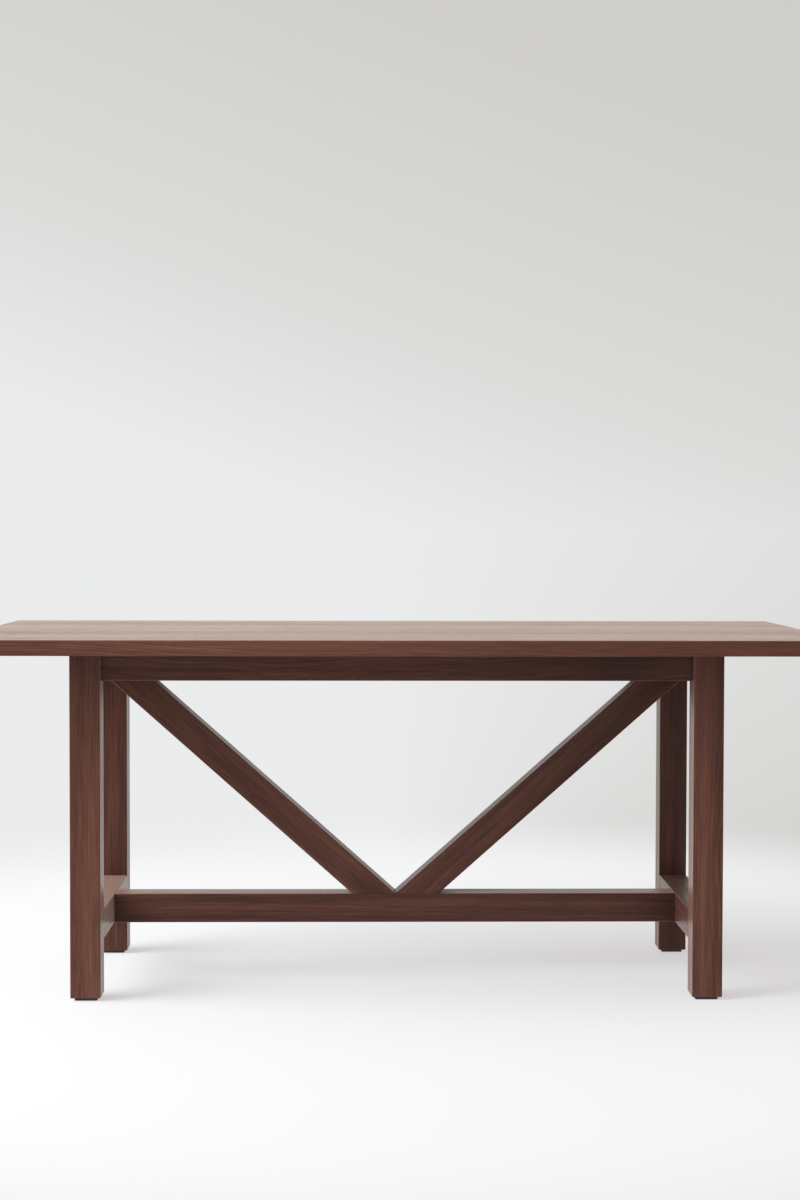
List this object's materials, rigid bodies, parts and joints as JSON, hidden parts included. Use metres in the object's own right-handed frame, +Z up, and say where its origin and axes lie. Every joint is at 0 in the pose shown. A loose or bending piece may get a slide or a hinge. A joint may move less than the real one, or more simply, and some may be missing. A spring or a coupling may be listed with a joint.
{
  "type": "dining table",
  "caption": "Long wooden dining table: plank top on square legs with aprons, an H-shaped stretcher, a V of diagonal braces and levelling feet.",
  "frame": {"origin": "on the floor under the middle of the top, with the feet screwed right in", "axes": "+X along the table to the right, +Y from the front to the back, +Z up"},
  "size_m": [1.8288, 0.9144, 0.7684],
  "materials": {
    "walnut_top": "walnut-stained wood, satin clear lacquer",
    "walnut_base": "walnut-stained wood, satin clear lacquer",
    "beech_dowel": "plain beech, unfinished",
    "zinc_steel": "bright zinc plating",
    "black_nylon": "moulded black nylon"
  },
  "bodies": {
    "frame": {"top_plank_1": "walnut_top", "top_plank_2": "walnut_top", "top_plank_3": "walnut_top", "top_plank_4": "walnut_top", "top_plank_5": "walnut_top", "top_plank_6": "walnut_top", "top_plank_7": "walnut_top", "front_left_leg": "walnut_base", "front_right_leg": "walnut_base", "back_left_leg": "walnut_base", "back_right_leg": "walnut_base", "front_apron": "walnut_base", "back_apron": "walnut_base", "left_apron": "walnut_base", "right_apron": "walnut_base", "centre_beam": "walnut_base", "left_side_stretcher": "walnut_base", "right_side_stretcher": "walnut_base", "long_stretcher": "walnut_base", "left_brace": "walnut_base", "right_brace": "walnut_base", "brace_dowels": "beech_dowel", "top_clips": "zinc_steel", "top_clip_screws": "zinc_steel", "foot_inserts": "zinc_steel"},
    "front_left_pad": {"front_left_foot_pad": "black_nylon"},
    "front_left_stem": {"front_left_foot_stem": "zinc_steel"},
    "front_right_pad": {"front_right_foot_pad": "black_nylon"},
    "front_right_stem": {"front_right_foot_stem": "zinc_steel"},
    "back_left_pad": {"back_left_foot_pad": "black_nylon"},
    "back_left_stem": {"back_left_foot_stem": "zinc_steel"},
    "back_right_pad": {"back_right_foot_pad": "black_nylon"},
    "back_right_stem": {"back_right_foot_stem": "zinc_steel"}
  },
  "joints": [
    {"name": "front_left_foot_travel", "type": "slide", "parent": "frame", "child": "front_left_pad", "axis": [0, 0, -1], "range_m": [0, 0.012]},
    {"name": "front_left_foot_turn", "type": "hinge", "parent": "front_left_pad", "child": "front_left_stem", "pos_m": [-0.65405, -0.24765, 0.025], "axis": [0, 0, -1], "range_deg": [0, 2880]},
    {"name": "front_right_foot_travel", "type": "slide", "parent": "frame", "child": "front_right_pad", "axis": [0, 0, -1], "range_m": [0, 0.012]},
    {"name": "front_right_foot_turn", "type": "hinge", "parent": "front_right_pad", "child": "front_right_stem", "pos_m": [0.65405, -0.24765, 0.025], "axis": [0, 0, -1], "range_deg": [0, 2880]},
    {"name": "back_left_foot_travel", "type": "slide", "parent": "frame", "child": "back_left_pad", "axis": [0, 0, -1], "range_m": [0, 0.012]},
    {"name": "back_left_foot_turn", "type": "hinge", "parent": "back_left_pad", "child": "back_left_stem", "pos_m": [-0.65405, 0.24765, 0.025], "axis": [0, 0, -1], "range_deg": [0, 2880]},
    {"name": "back_right_foot_travel", "type": "slide", "parent": "frame", "child": "back_right_pad", "axis": [0, 0, -1], "range_m": [0, 0.012]},
    {"name": "back_right_foot_turn", "type": "hinge", "parent": "back_right_pad", "child": "back_right_stem", "pos_m": [0.65405, 0.24765, 0.025], "axis": [0, 0, -1], "range_deg": [0, 2880]}
  ],
  "couplings": [
    {"joint": "front_left_foot_turn", "follows": "front_left_foot_travel", "rad_per_m": 4188.8},
    {"joint": "front_right_foot_turn", "follows": "front_right_foot_travel", "rad_per_m": 4188.8},
    {"joint": "back_left_foot_turn", "follows": "back_left_foot_travel", "rad_per_m": 4188.8},
    {"joint": "back_right_foot_turn", "follows": "back_right_foot_travel", "rad_per_m": 4188.8}
  ]
}
